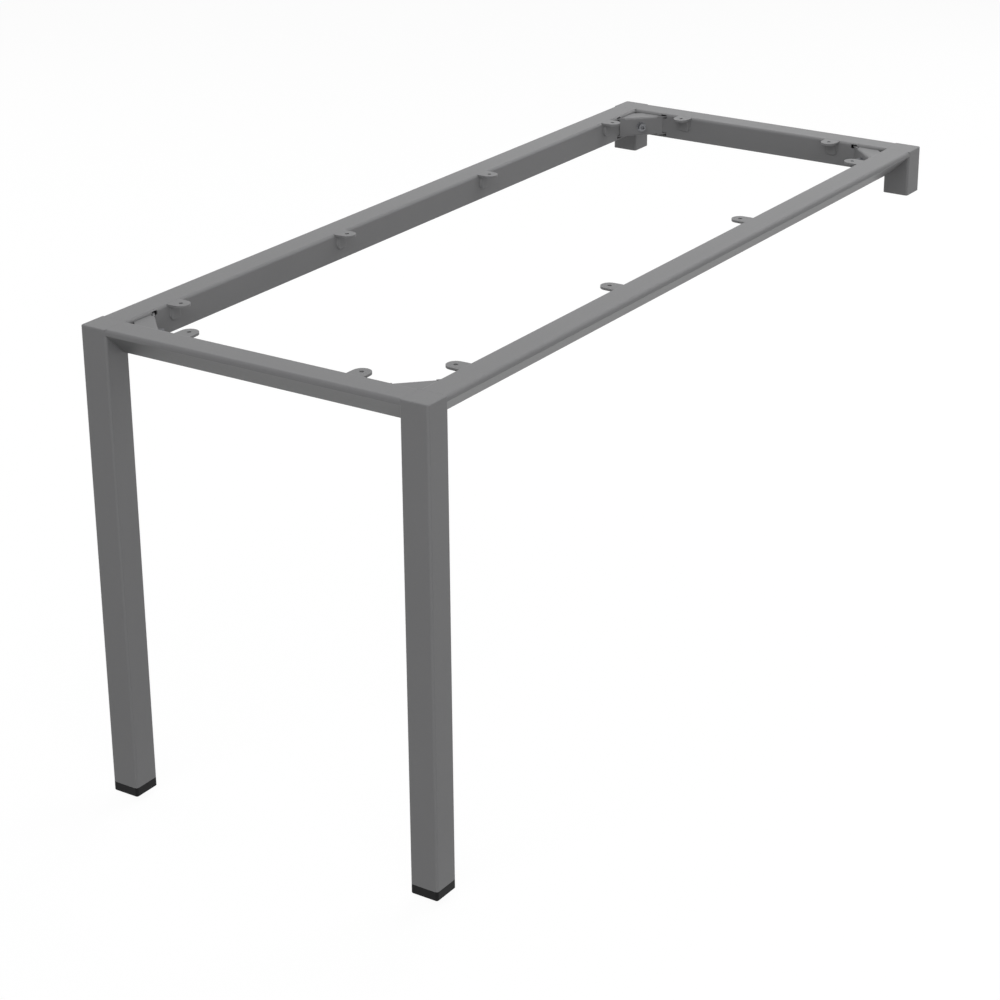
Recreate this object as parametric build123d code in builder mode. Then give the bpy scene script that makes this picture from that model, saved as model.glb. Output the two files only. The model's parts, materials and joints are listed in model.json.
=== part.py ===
from build123d import *
import os
from math import sqrt

# Table frame for a desk that stands on two legs at one end and on a cabinet at the other.
# +X runs along the frame to the cabinet end, -Y is the front, +Z is up, and the origin lies
# on the floor under the middle of the frame. Lengths are in millimetres.

# Overall sizes
frame_length = 1460.0
frame_width = 580.0
frame_height = 725.0

# Square tube of the legs
leg_size = 45.0
leg_wall = 2.0
leg_corner_radius = 4.0
leg_top_radius = 1.8
stub_height = 76.0

# Rail section: top flat as wide as the leg, upright lip outside, undercut slope, inner wall
rail_depth = 42.0
rail_lip = 8.0
rail_bottom_flat = 10.0
rail_wall = 2.0
rail_top_radius = 5.0
rail_arris_radius = 1.0
rail_bottom_radius = 3.0
rail_cope_gap = 0.05

# Corner bracket folded from sheet, with a prong at each end of its web's top and bottom edges
bracket_reach = 57.0
bracket_height = 33.0
bracket_sheet = 3.0
bracket_bend_radius = 4.0
bracket_side_gap = 0.8
bracket_apex_cut = 14.0
relief_length = 11.0
relief_depth = 5.0
prong_height = 2.5
prong_end = 3.0

# Slots in the rails' inner walls that take the prongs, with room to slide them in
slot_clearance = 0.5
slot_slide = 4.5
slot_corner_radius = 1.0
slot_over_prong = 2.5
slot_under_prong = 1.5

# Corner bolt, its washer and the nut block in the leg
bolt_diameter = 8.0
bolt_hole = 9.0
bolt_head_diameter = 13.0
bolt_head_height = 8.0
bolt_head_edge = 0.8
bolt_socket_width = 6.0
bolt_socket_depth = 4.0
bolt_end_chamfer = 1.0
washer_diameter = 17.0
washer_thickness = 1.6
nut_block_side = 20.0
nut_block_height = 22.0
nut_block_nose = 2.2
thread_clearance = 0.05

# Screw tabs for the table top
tab_thickness = 3.5
tab_root_width = 28.0
tab_tip_radius = 13.5
tab_hole_reach = 12.0
tab_hole = 6.5
tab_leg_width = 19.0
tab_leg_height = 25.0
tab_leg_corner = 4.0
tab_inner_bend = 2.0
tab_set_down = 0.2
tab_end_distance = 145.0
long_rail_tab_count = 4
short_rail_tab_count = 2

# Plates welded into the tube ends
plate_gap = 0.1
plate_corner = 2.0
top_plate_thickness = 3.0
base_plate_thickness = 6.0
base_tap_hole = 6.8

# Levelling foot: ribbed plug with a captive nut, stud, and square pad that snaps on the stud
pad_height = 12.0
pad_edge = 1.0
pad_floor = 3.5
plug_flange = 2.5
plug_depth = 26.0
plug_gap = 0.15
plug_wall = 2.5
plug_rib_depth = 2.5
plug_rib_width = 5.0
plug_rib_spacing = 20.0
plug_web = 2.0
plug_boss_diameter = 20.0
plug_bore = 9.0
foot_nut_width = 13.0
foot_nut_height = 6.5
stud_diameter = 8.0
stud_length = 34.0
stud_disc_diameter = 18.0
stud_disc_thickness = 4.5
stud_socket_width = 5.0
stud_socket_depth = 3.5
thrust_gap = 0.05
swivel_gap = 0.2
snap_lug_reach = 0.7
snap_lug_thickness = 1.2
snap_lug_width = 4.0
snap_lug_count = 4
key_hole = 8.0

# Sizes that follow from the ones above
foot_height = pad_height + plug_flange
leg_inside = leg_size - 2 * leg_wall
plug_width = leg_inside - 2 * plug_gap
mid_level = -rail_depth / 2
web_distance = bracket_reach / sqrt(2)
sheet_run = bracket_sheet * sqrt(2)
prong_level = (bracket_height - prong_height) / 2
slot_length = sheet_run + rail_wall + slot_clearance + slot_slide
slot_height = slot_under_prong + prong_height + slot_over_prong
slot_distance = bracket_reach - sheet_run - slot_clearance + slot_length / 2
slot_level = (bracket_height - slot_height) / 2 + slot_over_prong
bolt_length = web_distance + washer_thickness + leg_wall * sqrt(2) + nut_block_side / sqrt(2)
long_rail_length = frame_length - 2 * leg_size
short_rail_length = frame_width - 2 * leg_size
prong_run = rail_wall + prong_end
stud_bottom = pad_floor + thrust_gap
recess_radius = stud_disc_diameter / 2 + swivel_gap

# Each rail is drawn with its outer face on y = 0, its top on z = 0 and its length along x.
rail_places = {
    "front": Location((0, -frame_width / 2, frame_height)),
    "rear": Location((0, frame_width / 2, frame_height), (0, 0, 180)),
    "open_end": Location((-frame_length / 2, 0, frame_height), (0, 0, -90)),
    "cabinet_end": Location((frame_length / 2, 0, frame_height), (0, 0, 90)),
}

# Each corner piece is drawn with the leg's inner corner on the z axis, the leg in the
# negative quarter, the two rails along +x and +y, and the frame's top on z = 0.
corner_x = frame_length / 2 - leg_size
corner_y = frame_width / 2 - leg_size
corner_places = {
    "front_leg": Location((-corner_x, -corner_y, frame_height)),
    "rear_leg": Location((-corner_x, corner_y, frame_height), (0, 0, -90)),
    "front_stub": Location((corner_x, -corner_y, frame_height), (0, 0, 90)),
    "rear_stub": Location((corner_x, corner_y, frame_height), (0, 0, 180)),
}
leg_corners = ["front_leg", "rear_leg"]
stub_corners = ["front_stub", "rear_stub"]

# The bolt line runs level along the corner's diagonal, from inside the leg towards the web.
bolt_line = Plane(origin=(0, 0, mid_level), x_dir=(1, -1, 0), z_dir=(1, 1, 0))
channel_section = Plane(origin=(0, 0, mid_level), x_dir=(1, 1, 0), z_dir=(1, -1, 0))
diagonal_plane = Plane(origin=(0, 0, 0), x_dir=(0, 0, 1), z_dir=(1, -1, 0))
leg_middle = Location((-leg_size / 2, -leg_size / 2))
outward = Axis((0, 0, 0), (-1, -1, 0))

# Each foot piece is drawn upright, with the floor on z = 0 and the leg's middle on the z axis.
foot_drop = Location((-leg_size / 2, -leg_size / 2, -frame_height))

os.makedirs("parts", exist_ok=True)


def save(piece, name, place):
    """Writes a copy of a piece, moved to its place in the frame."""
    copy = piece.moved(place)
    copy.label = name
    export_step(copy, f"parts/{name}.step")


def make_rail(length):
    """Hollow rail, undercut outside, with prong slots, and coped and notched at each end."""
    with BuildPart() as rail:
        with BuildSketch(Plane.YZ.offset(-length / 2 - leg_corner_radius)):
            with BuildLine():
                Polyline(
                    (0, 0),
                    (0, -rail_lip),
                    (leg_size - rail_bottom_flat, -rail_depth),
                    (leg_size, -rail_depth),
                    (leg_size, 0),
                    close=True,
                )
            section = make_face()
            levels = section.vertices().group_by(Axis.Y)
            fillet(levels[-1], rail_top_radius)
            arris = section.vertices().group_by(Axis.X)[0].sort_by(Axis.Y)[0]
            fillet(arris, rail_arris_radius)
            fillet(section.vertices().group_by(Axis.Y)[0], rail_bottom_radius)
            offset(amount=-rail_wall, mode=Mode.SUBTRACT)
        extrude(amount=length + 2 * leg_corner_radius)
        inner_face = Plane(origin=(0, leg_size, mid_level), x_dir=(1, 0, 0), z_dir=(0, 1, 0))
        with BuildSketch(inner_face):
            with GridLocations(length - 2 * slot_distance, 2 * slot_level, 2, 2):
                RectangleRounded(slot_length, slot_height, slot_corner_radius)
        extrude(amount=-1.5 * rail_wall, mode=Mode.SUBTRACT)
        for end in (-1, 1):
            end_corner = (end * length / 2, leg_size, mid_level)
            with BuildSketch(Plane(origin=end_corner, z_dir=(-end, 1, 0))):
                Circle(bolt_hole / 2)
            extrude(amount=bolt_hole, both=True, mode=Mode.SUBTRACT)
            # The lip reaches round the leg's rounded corner, and the rest stops at its side.
            with BuildSketch():
                with Locations((end * (length + leg_size) / 2, leg_size / 2)):
                    RectangleRounded(leg_size, leg_size, leg_corner_radius)
                offset(amount=rail_cope_gap)
                with Locations((end * (length + leg_size) / 2, leg_size)):
                    Rectangle(leg_size, leg_size)
            extrude(amount=-rail_depth, mode=Mode.SUBTRACT)
    return rail.part


def make_leg(height, foot_gap):
    """Square tube from the frame's top down, with the bolt hole through its inner corner."""
    with BuildPart() as leg:
        # The top edge is rounded on the two outer sides only, and square beside the rails.
        with BuildSketch(Plane.XY.offset(foot_gap - height)):
            blank = Rectangle(2 * leg_size, 2 * leg_size)
            fillet(blank.vertices().sort_by(outward)[-1], leg_corner_radius)
        extrude(amount=height - foot_gap)
        top_face = leg.faces().sort_by(Axis.Z)[-1]
        fillet(top_face.edges().sort_by(outward)[-3:], leg_top_radius)
        with BuildSketch(Plane.XY.offset(foot_gap - height)):
            with Locations(leg_middle):
                RectangleRounded(leg_size, leg_size, leg_corner_radius)
                RectangleRounded(
                    leg_inside, leg_inside, leg_corner_radius - leg_wall, mode=Mode.SUBTRACT
                )
        extrude(amount=height - foot_gap, mode=Mode.INTERSECT)
        with BuildSketch(bolt_line):
            Circle(bolt_hole / 2)
        extrude(amount=-bolt_hole - leg_wall, mode=Mode.SUBTRACT)
    return leg.part


def make_end_plate(thickness, level, hole_diameter):
    """Square plate that closes a tube end, with its top at the level given."""
    side = leg_inside - 2 * plate_gap
    with BuildPart() as plate:
        with BuildSketch(Plane.XY.offset(level)):
            with Locations(leg_middle):
                RectangleRounded(side, side, plate_corner)
                if hole_diameter:
                    Circle(hole_diameter / 2, mode=Mode.SUBTRACT)
        extrude(amount=-thickness)
    return plate.part


def make_bracket():
    """Folded corner bracket: web, two flanges and four prongs that hook into the rails."""
    relief_x = relief_length / sqrt(2)
    relief_y = relief_depth / sqrt(2)
    sheet_x = bracket_sheet / sqrt(2)
    face_x = bracket_reach - bracket_side_gap
    with BuildPart() as bracket:
        # Web and flanges are one half of a channel, folded along the web, up to the diagonal.
        with BuildSketch(channel_section):
            with Locations(((web_distance - bracket_sheet) / 2, 0)):
                channel = Rectangle(web_distance + bracket_sheet, bracket_height)
            fillet(channel.vertices().group_by(Axis.X)[-1], bracket_bend_radius)
            offset(amount=-bracket_sheet, mode=Mode.SUBTRACT)
        extrude(amount=web_distance, both=True)
        with BuildSketch(Plane.XY.offset(mid_level)):
            Polygon(
                (bracket_apex_cut / 2, bracket_apex_cut / 2),
                (bracket_apex_cut - bracket_side_gap, bracket_side_gap),
                (face_x - 2 * relief_y, bracket_side_gap),
                (bracket_reach - relief_x - relief_y, relief_x - relief_y),
                (bracket_reach - relief_x, relief_x),
                (bracket_reach / 2, bracket_reach / 2),
                align=None,
            )
        extrude(amount=bracket_height, both=True, mode=Mode.INTERSECT)
        # Past the relief the web is flat, as high as the bracket, and ends at the rail.
        with BuildSketch(Plane.XY.offset(mid_level)):
            Polygon(
                (bracket_reach - relief_x, relief_x),
                (face_x, bracket_side_gap),
                (face_x - sheet_run, bracket_side_gap),
                (bracket_reach - relief_x - sheet_x, relief_x - sheet_x),
                align=None,
            )
        extrude(amount=bracket_height / 2, both=True)
        for side in (-1, 1):
            with BuildSketch(Plane.XY.offset(mid_level + side * prong_level)):
                Polygon(
                    (face_x, bracket_side_gap),
                    (bracket_reach + prong_run, -prong_run),
                    (bracket_reach + prong_run - sheet_run, -prong_run),
                    (face_x - sheet_run, bracket_side_gap),
                    align=None,
                )
            extrude(amount=prong_height / 2, both=True)
        mirror(about=diagonal_plane)
        with BuildSketch(bolt_line):
            Circle(bolt_hole / 2)
        extrude(amount=web_distance + bracket_sheet, mode=Mode.SUBTRACT)
    return bracket.part


def make_bolt():
    """Socket-head bolt from outside the web to the back of the nut block."""
    head_seat = bolt_line.offset(web_distance + washer_thickness)
    with BuildPart() as bolt:
        with BuildSketch(head_seat):
            Circle(bolt_head_diameter / 2)
        extrude(amount=bolt_head_height)
        head_edge = bolt.edges().filter_by(GeomType.CIRCLE).sort_by(Axis((0, 0, 0), (1, 1, 0)))[-1]
        chamfer(head_edge, bolt_head_edge)
        with BuildSketch(head_seat.offset(bolt_head_height)):
            RegularPolygon(bolt_socket_width / 2, 6, major_radius=False)
        extrude(amount=-bolt_socket_depth, mode=Mode.SUBTRACT)
        with BuildSketch(head_seat):
            Circle(bolt_diameter / 2)
        extrude(amount=-bolt_length)
        end_edge = bolt.edges().filter_by(GeomType.CIRCLE).sort_by(Axis((0, 0, 0), (1, 1, 0)))[0]
        chamfer(end_edge, bolt_end_chamfer)
    return bolt.part


def make_washer():
    """Flat washer between the bolt's head and the web."""
    with BuildPart() as washer:
        with BuildSketch(bolt_line.offset(web_distance)):
            Circle(washer_diameter / 2)
            Circle(bolt_hole / 2, mode=Mode.SUBTRACT)
        extrude(amount=washer_thickness)
    return washer.part


def make_nut_block():
    """Tapped three-cornered block, welded into the leg's inner corner."""
    with BuildPart() as block:
        with BuildSketch(Plane.XY.offset(mid_level)):
            with Locations((-leg_wall, -leg_wall)):
                Polygon(
                    (0, -nut_block_nose),
                    (0, -nut_block_side),
                    (-nut_block_side, 0),
                    (-nut_block_nose, 0),
                    align=None,
                )
        extrude(amount=nut_block_height / 2, both=True)
        with BuildSketch(bolt_line):
            Circle(bolt_diameter / 2 + thread_clearance)
        extrude(amount=-nut_block_side - leg_wall, mode=Mode.SUBTRACT)
    return block.part


def make_tab():
    """Screw tab: an angle welded to the rail, with a rounded tongue for the table top's screw."""
    down_plane = Plane(origin=(0, 0, 0), x_dir=(1, 0, 0), z_dir=(0, 1, 0))
    with BuildPart() as tab:
        with BuildSketch(Plane.XY.offset(-tab_set_down)):
            with Locations((0, tab_hole_reach)):
                Circle(tab_tip_radius)
            with Locations((0, tab_thickness / 2)):
                Rectangle(tab_root_width, tab_thickness)
            make_hull()
            with Locations((0, -rail_top_radius / 2)):
                Rectangle(tab_root_width, rail_top_radius)
            with Locations((0, tab_hole_reach)):
                Circle(tab_hole / 2, mode=Mode.SUBTRACT)
        extrude(amount=-tab_thickness)
        with BuildSketch(down_plane):
            with Locations((0, tab_set_down + tab_leg_height / 2)):
                upright = Rectangle(tab_leg_width, tab_leg_height)
            fillet(upright.vertices().group_by(Axis.Y)[-1], tab_leg_corner)
        extrude(amount=tab_thickness)
        along = tab.edges().filter_by(Axis.X)
        inner_edge = along.filter_by_position(Axis.Y, tab_thickness / 2, tab_hole_reach)
        fillet(inner_edge.sort_by(Axis.Z)[0], tab_inner_bend)
        # The root reaches over the rail's rounded edge and fits it.
        with BuildSketch(Plane.YZ):
            with Locations((-rail_top_radius, -rail_top_radius)):
                Circle(rail_top_radius)
        extrude(amount=tab_root_width, both=True, mode=Mode.SUBTRACT)
    return tab.part


def make_foot_plug():
    """Moulded plug pushed into the leg's end, with a flange under the tube and a hex pocket."""
    core = plug_width - 2 * plug_rib_depth
    with BuildPart() as plug:
        with BuildSketch(Plane.XY.offset(pad_height)):
            RectangleRounded(leg_size, leg_size, leg_corner_radius)
        extrude(amount=plug_flange)
        with BuildSketch(Plane.XY.offset(foot_height)):
            Rectangle(core, core)
            with GridLocations(plug_rib_spacing, 0, 2, 1):
                Rectangle(plug_rib_width, plug_width)
            with GridLocations(0, plug_rib_spacing, 1, 2):
                Rectangle(plug_width, plug_rib_width)
            Rectangle(core - 2 * plug_wall, core - 2 * plug_wall, mode=Mode.SUBTRACT)
            Rectangle(core, plug_web)
            Rectangle(plug_web, core)
            Circle(plug_boss_diameter / 2)
        extrude(amount=plug_depth)
        with BuildSketch(Plane.XY.offset(pad_height)):
            RegularPolygon(foot_nut_width / 2, 6, major_radius=False)
        extrude(amount=foot_nut_height, mode=Mode.SUBTRACT)
        with BuildSketch(Plane.XY.offset(pad_height)):
            Circle(plug_bore / 2)
        extrude(amount=plug_flange + plug_depth, mode=Mode.SUBTRACT)
    return plug.part


def make_foot_nut():
    """Hexagon nut held in the plug's pocket, level with the flange's underside."""
    with BuildPart() as nut:
        with BuildSketch(Plane.XY.offset(pad_height)):
            RegularPolygon(foot_nut_width / 2, 6, major_radius=False)
            Circle(stud_diameter / 2 + thread_clearance, mode=Mode.SUBTRACT)
        extrude(amount=foot_nut_height)
    return nut.part


def make_stud():
    """Levelling stud: a disc that turns in the pad, with a key socket, under a threaded shank."""
    with BuildPart() as stud:
        with BuildSketch(Plane.XY.offset(stud_bottom)):
            Circle(stud_disc_diameter / 2)
        extrude(amount=stud_disc_thickness)
        with BuildSketch(Plane.XY.offset(stud_bottom)):
            Circle(stud_diameter / 2)
        extrude(amount=stud_length)
        chamfer(stud.faces().sort_by(Axis.Z)[-1].edges(), bolt_end_chamfer)
        with BuildSketch(Plane.XY.offset(stud_bottom)):
            RegularPolygon(stud_socket_width / 2, 6, major_radius=False)
        extrude(amount=stud_socket_depth, mode=Mode.SUBTRACT)
    return stud.part


def make_foot_pad():
    """Square foot, as wide as the leg, with snap lugs over the stud's disc and a key hole."""
    lug_level = stud_bottom + stud_disc_thickness + swivel_gap
    with BuildPart() as pad:
        with BuildSketch():
            RectangleRounded(leg_size, leg_size, leg_corner_radius)
        extrude(amount=pad_height)
        chamfer(pad.faces().sort_by(Axis.Z)[0].outer_wire().edges(), pad_edge)
        with BuildSketch(Plane.XY.offset(pad_floor)):
            Circle(recess_radius)
        extrude(amount=pad_height - pad_floor, mode=Mode.SUBTRACT)
        with BuildSketch():
            Circle(key_hole / 2)
        extrude(amount=pad_floor, mode=Mode.SUBTRACT)
        with BuildSketch(Plane.XY.offset(lug_level)):
            with PolarLocations(recess_radius, snap_lug_count):
                Rectangle(2 * snap_lug_reach, snap_lug_width)
        extrude(amount=snap_lug_thickness)
    return pad.part


long_rail = make_rail(long_rail_length)
short_rail = make_rail(short_rail_length)
for name, place in rail_places.items():
    rail = long_rail if name in ("front", "rear") else short_rail
    save(rail, f"{name}_rail", place)

screw_tab = make_tab()
for name, place in rail_places.items():
    long_side = name in ("front", "rear")
    count = long_rail_tab_count if long_side else short_rail_tab_count
    span = (frame_length if long_side else frame_width) - 2 * tab_end_distance
    for number in range(count):
        along = span * (number / (count - 1) - 0.5)
        save(screw_tab, f"{name}_screw_tab_{number + 1}", place * Location((along, leg_size, 0)))

leg = make_leg(frame_height, foot_height)
stub = make_leg(stub_height, 0)
top_plate = make_end_plate(top_plate_thickness, 0, 0)
base_plate = make_end_plate(base_plate_thickness, base_plate_thickness - stub_height, base_tap_hole)
bracket = make_bracket()
bolt = make_bolt()
washer = make_washer()
nut_block = make_nut_block()
for name, place in corner_places.items():
    save(leg if name in leg_corners else stub, name, place)
    save(top_plate, f"{name}_top_plate", place)
    save(bracket, f"{name}_bracket", place)
    save(bolt, f"{name}_bolt", place)
    save(washer, f"{name}_washer", place)
    save(nut_block, f"{name}_nut_block", place)
for name in stub_corners:
    save(base_plate, f"{name}_base_plate", corner_places[name])

foot_plug = make_foot_plug()
foot_nut = make_foot_nut()
stud = make_stud()
foot_pad = make_foot_pad()
for name in leg_corners:
    place = corner_places[name] * foot_drop
    save(foot_plug, f"{name}_foot_plug", place)
    save(foot_nut, f"{name}_foot_nut", place)
    save(stud, f"{name}_levelling_stud", place)
    save(foot_pad, f"{name}_foot_pad", place)
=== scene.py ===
import bmesh
import bpy
import json
import math
import random
from mathutils import Matrix, Vector


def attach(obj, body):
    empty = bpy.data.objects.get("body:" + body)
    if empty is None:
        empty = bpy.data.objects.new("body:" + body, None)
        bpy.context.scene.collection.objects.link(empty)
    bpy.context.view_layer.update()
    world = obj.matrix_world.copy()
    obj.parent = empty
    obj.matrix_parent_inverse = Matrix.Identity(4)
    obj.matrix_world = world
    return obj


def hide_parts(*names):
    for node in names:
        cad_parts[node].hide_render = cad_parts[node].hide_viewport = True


# Table frame for a desk: welded steel in satin grey powder coat, knock-down corners, black feet.
# All lengths in the dictionaries are in millimetres unless a note says otherwise.

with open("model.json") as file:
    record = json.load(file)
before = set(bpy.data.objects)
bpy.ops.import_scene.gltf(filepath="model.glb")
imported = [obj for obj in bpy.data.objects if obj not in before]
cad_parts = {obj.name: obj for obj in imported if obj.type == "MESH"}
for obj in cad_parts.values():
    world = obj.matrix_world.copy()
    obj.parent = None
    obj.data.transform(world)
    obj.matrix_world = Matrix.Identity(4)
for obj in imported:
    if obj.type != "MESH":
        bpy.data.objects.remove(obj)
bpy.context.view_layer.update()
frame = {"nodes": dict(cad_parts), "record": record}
mm = 0.001
print("frame loaded:", len(frame["nodes"]), "nodes")


def linearColour(code):
    # sRGB hex to the linear values that the shaders take
    parts = [int(code[i:i + 2], 16) / 255 for i in (1, 3, 5)]
    return [c / 12.92 if c <= 0.04045 else ((c + 0.055) / 1.055) ** 2.4 for c in parts] + [1.0]


def addNode(tree, kind, values=None, sources=None, **settings):
    # one node, its settings, the values on its own sockets, and the links into it
    node = tree.nodes.new(kind)
    for name, value in settings.items():
        setattr(node, name, value)
    for socket, value in (values or {}).items():
        node.inputs[socket].default_value = value
    for socket, source in (sources or {}).items():
        tree.links.new(source, node.inputs[socket])
    return node


# the Mix node's colour sockets, which share their names and so go by number
mixShare, mixFirst, mixSecond, mixResult = 0, 6, 7, 2


def newMaterial(name):
    material = bpy.data.materials.new(name)
    material.use_nodes = True
    material.node_tree.nodes.clear()
    return material, material.node_tree


def perMetre(size):
    # texture scale that gives features about this many millimetres across
    return 1 / (size * mm)


# Polyester powder coat, sprayed on steel and baked: a smooth satin skin with a shallow orange
# peel, so highlights stay soft and very slightly broken, and the grey drifts a little in depth.
powderCoat = {
    "colour": "#7d7d7e",
    "driftColour": "#787879",
    "ior": 1.5,
    "roughness": 0.5,
    "roughnessDrift": 0.04,
    "peelSize": 4.5,      # real peel is near 1.5 mm, too fine for a picture of the whole frame
    "peelHeight": 0.02,
    "driftSize": 160.0,
}


def makePowderCoat(values):
    material, tree = newMaterial("satin_polyester_powder_coat_on_steel")
    where = addNode(tree, "ShaderNodeTexCoord").outputs["Object"]
    drift = addNode(tree, "ShaderNodeTexNoise", {"Scale": perMetre(values["driftSize"]), "Detail": 3.0},
                    {"Vector": where})
    peel = addNode(tree, "ShaderNodeTexNoise",
                   {"Scale": perMetre(values["peelSize"]), "Detail": 2.0, "Roughness": 0.4},
                   {"Vector": where})
    colour = addNode(tree, "ShaderNodeMix",
                     {mixFirst: linearColour(values["colour"]), mixSecond: linearColour(values["driftColour"])},
                     {mixShare: drift.outputs["Fac"]}, data_type="RGBA")
    rough = addNode(tree, "ShaderNodeMapRange",
                    {"To Min": values["roughness"] - values["roughnessDrift"],
                     "To Max": values["roughness"] + values["roughnessDrift"]},
                    {"Value": peel.outputs["Fac"]})
    bump = addNode(tree, "ShaderNodeBump", {"Strength": 1.0, "Distance": values["peelHeight"] * mm},
                   {"Height": peel.outputs["Fac"]})
    shader = addNode(tree, "ShaderNodeBsdfPrincipled", {"IOR": values["ior"]},
                     {"Base Color": colour.outputs[mixResult], "Roughness": rough.outputs["Result"],
                      "Normal": bump.outputs["Normal"]})
    addNode(tree, "ShaderNodeOutputMaterial", sources={"Surface": shader.outputs["BSDF"]})
    return material


# Polypropylene, moulded black in a spark-eroded tool: a matt skin with a fine even grain.
polypropylene = {
    "colour": "#0e0e0f",
    "scuffColour": "#191919",
    "ior": 1.49,
    "reflection": 0.18,   # under half the plain skin's 0.5: the grain's pits swallow the rest
    "roughness": 0.55,
    "grainSize": 1.2,     # the tool's grain is near 0.2 mm, drawn coarser to show
    "grainHeight": 0.02,
    "scuffSize": 14.0,
    "scuffStart": 0.5,    # noise level at which a scuff begins to show
    "scuffFull": 0.75,
}


def makePolypropylene(values):
    material, tree = newMaterial("black_moulded_polypropylene")
    where = addNode(tree, "ShaderNodeTexCoord").outputs["Object"]
    grain = addNode(tree, "ShaderNodeTexNoise", {"Scale": perMetre(values["grainSize"]), "Detail": 2.0},
                    {"Vector": where})
    scuff = addNode(tree, "ShaderNodeTexNoise",
                    {"Scale": perMetre(values["scuffSize"]), "Detail": 4.0, "Roughness": 0.65},
                    {"Vector": where})
    share = addNode(tree, "ShaderNodeMapRange",
                    {"From Min": values["scuffStart"], "From Max": values["scuffFull"]},
                    {"Value": scuff.outputs["Fac"]})
    colour = addNode(tree, "ShaderNodeMix",
                     {mixFirst: linearColour(values["colour"]), mixSecond: linearColour(values["scuffColour"])},
                     {mixShare: share.outputs["Result"]}, data_type="RGBA")
    bump = addNode(tree, "ShaderNodeBump", {"Strength": 1.0, "Distance": values["grainHeight"] * mm},
                   {"Height": grain.outputs["Fac"]})
    shader = addNode(tree, "ShaderNodeBsdfPrincipled",
                     {"IOR": values["ior"], "Specular IOR Level": values["reflection"],
                      "Roughness": values["roughness"]},
                     {"Base Color": colour.outputs[mixResult], "Normal": bump.outputs["Normal"]})
    addNode(tree, "ShaderNodeOutputMaterial", sources={"Surface": shader.outputs["BSDF"]})
    return material


# Zinc, electroplated on turned steel: bright but cloudy, with darker and duller patches.
zincPlate = {
    "colour": "#b9bab8",
    "cloudColour": "#9c9d9b",
    "roughness": 0.3,
    "cloudRoughness": 0.45,
    "cloudSize": 3.5,
    "markSize": 0.6,      # turning marks are near 0.1 mm, drawn coarser to show
    "markHeight": 0.006,
}


def makeZincPlate(values):
    material, tree = newMaterial("zinc_electroplated_steel")
    where = addNode(tree, "ShaderNodeTexCoord").outputs["Object"]
    cloud = addNode(tree, "ShaderNodeTexNoise", {"Scale": perMetre(values["cloudSize"]), "Detail": 4.0},
                    {"Vector": where})
    marks = addNode(tree, "ShaderNodeTexNoise", {"Scale": perMetre(values["markSize"]), "Detail": 1.0},
                    {"Vector": where})
    colour = addNode(tree, "ShaderNodeMix",
                     {mixFirst: linearColour(values["colour"]), mixSecond: linearColour(values["cloudColour"])},
                     {mixShare: cloud.outputs["Fac"]}, data_type="RGBA")
    rough = addNode(tree, "ShaderNodeMapRange",
                    {"To Min": values["roughness"], "To Max": values["cloudRoughness"]},
                    {"Value": cloud.outputs["Fac"]})
    bump = addNode(tree, "ShaderNodeBump", {"Strength": 1.0, "Distance": values["markHeight"] * mm},
                   {"Height": marks.outputs["Fac"]})
    shader = addNode(tree, "ShaderNodeBsdfPrincipled", {"Metallic": 1.0},
                     {"Base Color": colour.outputs[mixResult], "Roughness": rough.outputs["Result"],
                      "Normal": bump.outputs["Normal"]})
    addNode(tree, "ShaderNodeOutputMaterial", sources={"Surface": shader.outputs["BSDF"]})
    return material


# Zinc-flake coating, dipped and baked on the corner bolts and washers: a dull mid grey with a
# fine metallic grain, close to the frame's own grey, and no mirror in it.
zincFlake = {
    "colour": "#8a8b8e",
    "flakeColour": "#76777a",
    "roughness": 0.5,
    "flakeRoughness": 0.62,
    "flakeSize": 0.8,     # the flakes are near 0.02 mm, drawn coarser to show
    "flakeHeight": 0.01,
}


def makeZincFlake(values):
    material, tree = newMaterial("zinc_flake_dipped_steel")
    where = addNode(tree, "ShaderNodeTexCoord").outputs["Object"]
    flake = addNode(tree, "ShaderNodeTexVoronoi", {"Scale": perMetre(values["flakeSize"])}, {"Vector": where})
    # each flake's random colour gives its own grey, roughness and height
    share = addNode(tree, "ShaderNodeSeparateColor", sources={"Color": flake.outputs["Color"]})
    colour = addNode(tree, "ShaderNodeMix",
                     {mixFirst: linearColour(values["colour"]), mixSecond: linearColour(values["flakeColour"])},
                     {mixShare: share.outputs["Red"]}, data_type="RGBA")
    rough = addNode(tree, "ShaderNodeMapRange",
                    {"To Min": values["roughness"], "To Max": values["flakeRoughness"]},
                    {"Value": share.outputs["Green"]})
    bump = addNode(tree, "ShaderNodeBump", {"Strength": 1.0, "Distance": values["flakeHeight"] * mm},
                   {"Height": share.outputs["Blue"]})
    shader = addNode(tree, "ShaderNodeBsdfPrincipled", {"Metallic": 1.0},
                     {"Base Color": colour.outputs[mixResult], "Roughness": rough.outputs["Result"],
                      "Normal": bump.outputs["Normal"]})
    addNode(tree, "ShaderNodeOutputMaterial", sources={"Surface": shader.outputs["BSDF"]})
    return material


materials = {
    "powder_coated_steel": makePowderCoat(powderCoat),
    "zinc_plated_steel": makeZincPlate(zincPlate),
    "zinc_flake_steel": makeZincFlake(zincFlake),
    "black_plastic": makePolypropylene(polypropylene),
}
for entry in frame["record"]["subparts"]:
    mesh = frame["nodes"][entry["node"]].data
    mesh.materials.clear()
    mesh.materials.append(materials[entry["material_slot"]])
print("materials:", ", ".join(m.name for m in materials.values()))


smoothAngle = 32      # degrees: a sharper edge than this stays sharp
axisRadius = 0.01     # the smallest ring, which closes a turned piece on its axis
mergeDistance = 0.001
levelTolerance = 1e-4


def circle(radius):
    return lambda angle: radius


def hexagon(acrossFlats):
    return lambda angle: acrossFlats / 2 / math.cos(angle % (math.pi / 3) - math.pi / 6)


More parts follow.
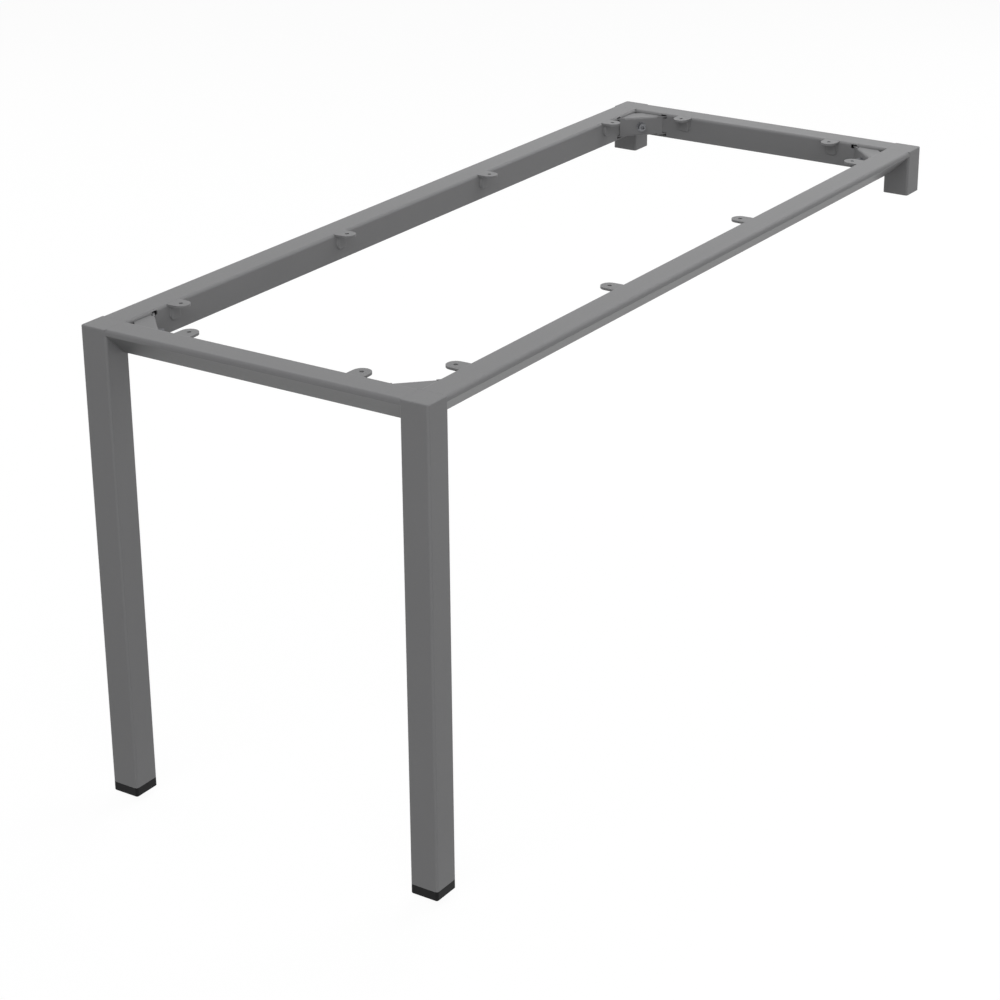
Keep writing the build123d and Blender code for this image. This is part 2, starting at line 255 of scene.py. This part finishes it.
def turnedRings(rings, segments):
    # closed skin through rings of (radius at an angle, height), each a loop of equal steps
    bm = bmesh.new()
    loops = []
    angles = [2 * math.pi * i / segments for i in range(segments)]
    for radiusAt, height in rings:
        loops.append([bm.verts.new((radiusAt(a) * math.cos(a), radiusAt(a) * math.sin(a), height))
                      for a in angles])
    for first, second in zip(loops, loops[1:]):
        for i in range(segments):
            j = (i + 1) % segments
            bm.faces.new((first[i], first[j], second[j], second[i]))
    bm.faces.new(loops[0][::-1])
    bm.faces.new(loops[-1])
    bmesh.ops.remove_doubles(bm, verts=bm.verts, dist=mergeDistance)
    return bm


# ISO metric coarse thread, M8: 60 degree flanks, an eighth of the pitch at the crest
thread = {
    "radius": 4.0,
    "pitch": 1.25,
    "depthShare": 0.6134,     # depth and the shares below are all parts of one pitch
    "rootEnd": 0.25,
    "crestStart": 0.5625,
    "crestEnd": 0.6875,
    "chamfer": 0.9,
    "segments": 40,
}


def threadedShank(low, high, values):
    # one helical strip of root, flank, crest and flank, cut level at both ends and capped
    pitch, radius, segments = values["pitch"], values["radius"], values["segments"]
    root = radius - values["depthShare"] * pitch
    profile = [(0.0, root), (values["rootEnd"], root),
               (values["crestStart"], radius), (values["crestEnd"], radius)]
    steps = (math.ceil((high - low) / pitch) + 2) * segments
    bm = bmesh.new()
    grid = []
    for i in range(steps + segments + 1):
        angle = 2 * math.pi * i / segments
        row = []
        for share, reach in profile:
            height = low - pitch + pitch * (i / segments + share)
            reach = min(reach, radius - values["chamfer"] + max(high - height, 0))
            row.append(bm.verts.new((reach * math.cos(angle), reach * math.sin(angle), height)))
        grid.append(row)
    for i in range(steps):
        # the last flank ends on the root one turn further up
        edges = list(zip(grid[i], grid[i + 1])) + [(grid[i + segments][0], grid[i + 1 + segments][0])]
        for (here, there), (hereAbove, thereAbove) in zip(edges, edges[1:]):
            bm.faces.new((here, there, thereAbove, hereAbove))
    bmesh.ops.delete(bm, geom=[v for v in bm.verts if not v.link_faces], context="VERTS")
    for level, cut in ((low, "clear_inner"), (high, "clear_outer")):
        parts = bm.verts[:] + bm.edges[:] + bm.faces[:]
        bmesh.ops.bisect_plane(bm, geom=parts, plane_co=(0, 0, level), plane_no=(0, 0, 1), **{cut: True})
        rim = [e for e in bm.edges
               if e.is_boundary and all(abs(v.co.z - level) < levelTolerance for v in e.verts)]
        bmesh.ops.contextual_create(bm, geom=rim)
    return bm


def addPiece(name, shells, place, slotName, body, nodes=()):
    # several closed shells in millimetres become one piece in metres, at its place
    joined = bmesh.new()
    for shell in shells:
        part = bpy.data.meshes.new("part")
        bmesh.ops.recalc_face_normals(shell, faces=shell.faces)
        shell.to_mesh(part)
        shell.free()
        joined.from_mesh(part)
        bpy.data.meshes.remove(part)
    bmesh.ops.transform(joined, matrix=place @ Matrix.Scale(mm, 4), verts=joined.verts)
    mesh = bpy.data.meshes.new(name)
    joined.to_mesh(mesh)
    joined.free()
    mesh.shade_smooth()
    mesh.set_sharp_from_angle(angle=math.radians(smoothAngle))
    mesh.materials.append(materials[slotName])
    piece = bpy.data.objects.new(name, mesh)
    bpy.context.scene.collection.objects.link(piece)
    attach(piece, body)
    if nodes:
        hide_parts(*nodes)
    return piece


# Levelling stud: upset disc with a hexagon socket below, and a rolled thread above
levellingStud = {
    "legX": -707.5,
    "legY": 267.5,
    "bottom": 3.55,
    "discRadius": 9.0,
    "discHeight": 4.5,
    "discEdge": 0.5,
    "socketWidth": 5.0,
    "socketDepth": 3.5,
    "socketMouth": 0.35,
    "mouthEase": 0.1,     # how far the mouth's round clears the hexagon's corners
    "shankSink": 0.4,     # how far the thread starts inside the disc
    "top": 37.55,
    "segments": 72,
}


def makeLevellingStud(side, values):
    low, edge = values["bottom"], values["discEdge"]
    high = low + values["discHeight"]
    socket = hexagon(values["socketWidth"])
    mouth = circle(values["socketWidth"] / math.sqrt(3) + values["mouthEase"])
    disc = turnedRings([
        (circle(axisRadius), low + values["socketDepth"]),
        (socket, low + values["socketDepth"]),
        (socket, low + values["socketMouth"]),
        (mouth, low),
        (circle(values["discRadius"] - edge), low),
        (circle(values["discRadius"]), low + edge),
        (circle(values["discRadius"]), high - edge),
        (circle(values["discRadius"] - edge), high),
        (circle(axisRadius), high),
    ], values["segments"])
    shank = threadedShank(high - values["shankSink"], values["top"], thread)
    y = values["legY"] if side == "rear" else -values["legY"]
    place = Matrix.Translation(Vector((values["legX"], y, 0)) * mm)
    return addPiece(f"{side}_leg_levelling_stud_threaded", [disc, shank], place,
                    "zinc_plated_steel", f"{side}_foot_stud", [f"{side}_leg_levelling_stud"])


for side in ("front", "rear"):
    makeLevellingStud(side, levellingStud)
print("levelling studs: 2")

# Corner bolt: socket cap screw with a knurled head, plain shank, rolled thread at the far end
cornerBolt = {
    "cornerX": 685.0,
    "cornerY": 245.0,
    "level": 704.0,
    "headSeat": 41.905,
    "headRadius": 6.5,
    "headHeight": 8.0,
    "headEdge": 0.8,
    "footEdge": 0.3,
    "knurlTeeth": 48,     # about 0.85 mm apart round the head
    "knurlDepth": 0.22,
    "knurlStart": 0.7,    # up from the seat
    "knurlEnd": 1.3,      # down from the top
    "knurlRunOut": 0.3,
    "socketWidth": 6.0,
    "socketDepth": 4.0,
    "socketMouth": 0.4,
    "mouthEase": 0.15,    # how far the mouth's round clears the hexagon's corners
    "socketCone": 0.9,
    "shankRadius": 3.98,
    "shankSink": 0.2,     # how far the shank starts inside the head
    "shankSegments": 48,
    "length": 58.876,
    "threadLength": 28.0,
    "threadSink": 0.3,    # how far the thread starts inside the shank
}


def makeCornerBolt(corner, signX, signY, values):
    radius, top = values["headRadius"], values["headHeight"]
    valley = radius - values["knurlDepth"]
    knurlEnd = top - values["knurlEnd"]
    knurl = lambda angle: valley + values["knurlDepth"] * abs(math.sin(angle * values["knurlTeeth"] / 2))
    socket = hexagon(values["socketWidth"])
    mouth = circle(values["socketWidth"] / math.sqrt(3) + values["mouthEase"])
    head = turnedRings([
        (circle(axisRadius), 0.0),
        (circle(valley - values["footEdge"]), 0.0),
        (circle(valley), values["footEdge"]),
        (knurl, values["knurlStart"]),
        (knurl, knurlEnd),
        (circle(valley), knurlEnd + values["knurlRunOut"]),
        (circle(valley), top - values["headEdge"]),
        (circle(valley - values["headEdge"]), top),
        (mouth, top),
        (socket, top - values["socketMouth"]),
        (socket, top - values["socketDepth"]),
        (circle(axisRadius), top - values["socketDepth"] - values["socketCone"]),
    ], 4 * values["knurlTeeth"])
    threadTop = values["threadLength"] - values["length"]
    shank = turnedRings([
        (circle(values["shankRadius"]), threadTop),
        (circle(values["shankRadius"]), values["shankSink"]),
    ], values["shankSegments"])
    screw = threadedShank(-threadTop - values["threadSink"], values["length"], thread)
    bmesh.ops.rotate(screw, cent=(0, 0, 0), matrix=Matrix.Rotation(math.pi, 3, "X"), verts=screw.verts)
    inward = Vector((-signX, -signY, 0)).normalized()
    cornerPoint = Vector((signX * values["cornerX"], signY * values["cornerY"], values["level"]))
    seat = cornerPoint + inward * values["headSeat"]
    turn = Vector((0, 0, 1)).rotation_difference(inward).to_matrix().to_4x4()
    return addPiece(f"{corner}_bolt_knurled", [head, shank, screw], Matrix.Translation(seat * mm) @ turn,
                    "zinc_flake_steel", "frame", [f"{corner}_bolt"])


corners = {"front_leg": (-1, -1), "rear_leg": (-1, 1), "front_stub": (1, -1), "rear_stub": (1, 1)}
for corner, (signX, signY) in corners.items():
    makeCornerBolt(corner, signX, signY, cornerBolt)
print("corner bolts:", len(corners))

# Fillet weld down each side of a screw tab's upright, coated over with the rest of the frame
tabWeld = {
    "railReach": 45.0,
    "halfWidth": 9.5,
    "top": 4.0,
    "length": 17.0,
    "leg": 1.6,
    "bite": 0.3,          # how far the bead reaches into the steel behind it
    "endShare": 0.25,     # size left at the very ends
    "endTaper": 6,        # the ends swell over one part in this many
    "unevenness": 0.015,
    "hollow": 0.13,       # how far the face is hollow across the corner
    "ripple": 0.08,
    "rippleStep": 1.3,
    "rippleBow": 0.5,     # each ripple lags by this in the middle
    "arcSteps": 8,
    "step": 0.26,
}


def weldBead(side, values, seed):
    # a closed sweep down the corner between rail and tab, a quarter round with ripples in it
    chance = random.Random(seed)
    bm = bmesh.new()
    count = round(values["length"] / values["step"])
    loops = []
    half, face, bite = values["halfWidth"], values["railReach"], values["bite"]
    swell, rest = values["endTaper"], values["endShare"]
    for k in range(count + 1):
        run = k / count
        down = run * values["length"]
        taper = min(1.0, swell * run, swell * (1 - run)) ** 0.5
        uneven = chance.uniform(-values["unevenness"], values["unevenness"])
        size = values["leg"] * (rest + (1 - rest) * taper) * (1 + uneven)
        loop = [bm.verts.new((side * (half - bite), face - bite, -values["top"] - down))]
        for n in range(values["arcSteps"] + 1):
            angle = math.pi / 2 * n / values["arcSteps"]
            bulge = math.sin(2 * angle)       # none at the two toes, one in the middle
            phase = 2 * math.pi * (down + values["rippleBow"] * bulge) / values["rippleStep"]
            ripple = values["ripple"] * taper * bulge * abs(math.sin(phase / 2))
            reach = size * (1 - values["hollow"] * bulge) + ripple
            x = side * (half + reach * math.cos(angle))
            y = face + reach * math.sin(angle)
            loop.append(bm.verts.new((x, y, -values["top"] - down)))
        loops.append(loop)
    for first, second in zip(loops, loops[1:]):
        for i in range(len(first)):
            j = (i + 1) % len(first)
            bm.faces.new((first[i], first[j], second[j], second[i]))
    bm.faces.new(loops[0][::-1])
    bm.faces.new(loops[-1])
    return bm


# the rails' outer top edges, and how far apart the first and last tab of each are
rails = {
    "front": {"origin": (0, -290, 725), "turn": 0, "span": 1170, "tabs": 4},
    "rear": {"origin": (0, 290, 725), "turn": 180, "span": 1170, "tabs": 4},
    "open_end": {"origin": (-730, 0, 725), "turn": -90, "span": 290, "tabs": 2},
    "cabinet_end": {"origin": (730, 0, 725), "turn": 90, "span": 290, "tabs": 2},
}
for name, rail in rails.items():
    turn = Matrix.Rotation(math.radians(rail["turn"]), 4, "Z")
    for number in range(rail["tabs"]):
        along = rail["span"] * (number / (rail["tabs"] - 1) - 0.5)
        step = Matrix.Translation(Vector((along, 0, 0)) * mm)
        place = Matrix.Translation(Vector(rail["origin"]) * mm) @ turn @ step
        beads = [weldBead(side, tabWeld, f"{name}{number}{side}") for side in (-1, 1)]
        addPiece(f"{name}_screw_tab_{number + 1}_weld", beads, place, "powder_coated_steel", "frame")
print("tab welds:", sum(rail["tabs"] for rail in rails.values()))


# Studio: a floor and a world that read as white to the eye and in reflections
studio = {
    "floorSize": 60.0,        # metres
    "floorLevel": -10.1,      # where the feet stand when they are screwed right out, so that they show whole
    "floorColour": "#6c6c6c",     # what the floor throws back up on the frame's undersides
    "shadowShare": 0.05,      # how far below white the unlit floor is, so that a faint shadow stays
    "shadowColour": "#484848",    # what the lamps add back over that
    "ambientColour": "#ffffff",
    "ambient": 0.1,
}


def whiteRays(tree):
    # one where a camera, glossy or transmission ray looks, for the white background
    path = addNode(tree, "ShaderNodeLightPath")
    first = addNode(tree, "ShaderNodeMath", operation="MAXIMUM",
                    sources={0: path.outputs["Is Camera Ray"], 1: path.outputs["Is Glossy Ray"]})
    both = addNode(tree, "ShaderNodeMath", operation="MAXIMUM",
                   sources={0: first.outputs[0], 1: path.outputs["Is Transmission Ray"]})
    return both.outputs[0]


def makeFloor(values):
    mesh = bpy.data.meshes.new("studio_floor")
    half, level = values["floorSize"] / 2, values["floorLevel"] * mm
    sides = [(-half, -half, level), (half, -half, level), (half, half, level), (-half, half, level)]
    mesh.from_pydata(sides, [], [(0, 1, 2, 3)])
    floor = bpy.data.objects.new("studio_floor", mesh)
    bpy.context.scene.collection.objects.link(floor)
    material, tree = newMaterial("matt_white_studio_floor")
    lit = addNode(tree, "ShaderNodeBsdfDiffuse", {"Color": linearColour(values["floorColour"])})
    shaded = addNode(tree, "ShaderNodeBsdfDiffuse", {"Color": linearColour(values["shadowColour"])})
    white = addNode(tree, "ShaderNodeEmission", {"Strength": 1 - values["shadowShare"]})
    seen = addNode(tree, "ShaderNodeAddShader", sources={0: shaded.outputs[0], 1: white.outputs[0]})
    both = addNode(tree, "ShaderNodeMixShader",
                   sources={0: whiteRays(tree), 1: lit.outputs[0], 2: seen.outputs[0]})
    addNode(tree, "ShaderNodeOutputMaterial", sources={"Surface": both.outputs[0]})
    mesh.materials.append(material)
    return floor


def makeWorld(values):
    world = bpy.data.worlds.new("white_studio")
    world.use_nodes = True
    tree = world.node_tree
    tree.nodes.clear()
    ambient = addNode(tree, "ShaderNodeBackground",
                      {"Color": linearColour(values["ambientColour"]), "Strength": values["ambient"]})
    white = addNode(tree, "ShaderNodeBackground", {"Color": (1, 1, 1, 1), "Strength": 1.0})
    both = addNode(tree, "ShaderNodeMixShader",
                   sources={0: whiteRays(tree), 1: ambient.outputs[0], 2: white.outputs[0]})
    addNode(tree, "ShaderNodeOutputWorld", sources={"Surface": both.outputs[0]})
    bpy.context.scene.world = world
    return world


# Soft lamps, in metres and watts: each a rectangle that looks at a point
lamps = {
    "overhead_softbox": {"place": (1.8, -0.2, 3.2), "looksAt": (0.5, 0.0, 0.7),
                         "size": (2.4, 2.4), "power": 57.0},
    "open_end_key": {"place": (-5.0, -0.6, 5.2), "looksAt": (0.0, 0.0, 0.6),
                     "size": (4.0, 3.0), "power": 128.0},
    "corner_key": {"place": (-3.6, -3.8, 5.2), "looksAt": (0.0, 0.0, 0.6),
                   "size": (3.4, 3.0), "power": 47.0},
    "corner_fill": {"place": (-3.4, -3.4, 1.6), "looksAt": (0.0, 0.0, 0.5),
                    "size": (2.6, 2.2), "power": 52.0},
    "front_fill": {"place": (0.4, -4.6, 1.0), "looksAt": (0.0, 0.0, 0.5),
                   "size": (4.5, 1.8), "power": 26.0},
    "rear_fill": {"place": (0.2, 4.2, 1.8), "looksAt": (0.0, 0.0, 0.5),
                  "size": (4.5, 1.8), "power": 45.0},
    "cabinet_end_fill": {"place": (4.6, 0.0, 1.8), "looksAt": (0.0, 0.0, 0.5),
                         "size": (3.0, 1.8), "power": 30.0},
}


def makeLamp(name, values):
    light = bpy.data.lights.new(name, "AREA")
    light.shape = "RECTANGLE"
    light.size, light.size_y = values["size"]
    light.energy = values["power"]
    lamp = bpy.data.objects.new(name, light)
    lamp.location = values["place"]
    aim = Vector(values["looksAt"]) - Vector(values["place"])
    lamp.rotation_euler = aim.to_track_quat("-Z", "Y").to_euler()
    lamp.visible_camera = False
    lamp.visible_glossy = False
    bpy.context.scene.collection.objects.link(lamp)
    return lamp


makeFloor(studio)
makeWorld(studio)
for name, values in lamps.items():
    makeLamp(name, values)
print("studio: floor, world and", len(lamps), "lamps")

# Camera at the photograph's viewing angle, worked out from the frame's straight edges
cameraView = {
    "place": (-3.210937, -2.045427, 1.886418),   # metres
    "heading": 32.4318,       # degrees from +X towards +Y
    "drop": 22.5639,          # degrees below level
    "lens": 93.033,
    "shift": (-0.048346, -0.020794),
}


def makeCamera(values):
    data = bpy.data.cameras.new("photo_view")
    data.sensor_width = 36.0
    data.lens = values["lens"]
    data.shift_x, data.shift_y = values["shift"]
    data.clip_end = 200.0
    camera = bpy.data.objects.new("photo_view", data)
    camera.location = values["place"]
    camera.rotation_euler = (math.radians(90 - values["drop"]), 0, math.radians(values["heading"] - 90))
    bpy.context.scene.collection.objects.link(camera)
    bpy.context.scene.camera = camera
    return camera


makeCamera(cameraView)
bpy.context.scene.view_settings.view_transform = "Standard"
print("camera at the photograph's angle")
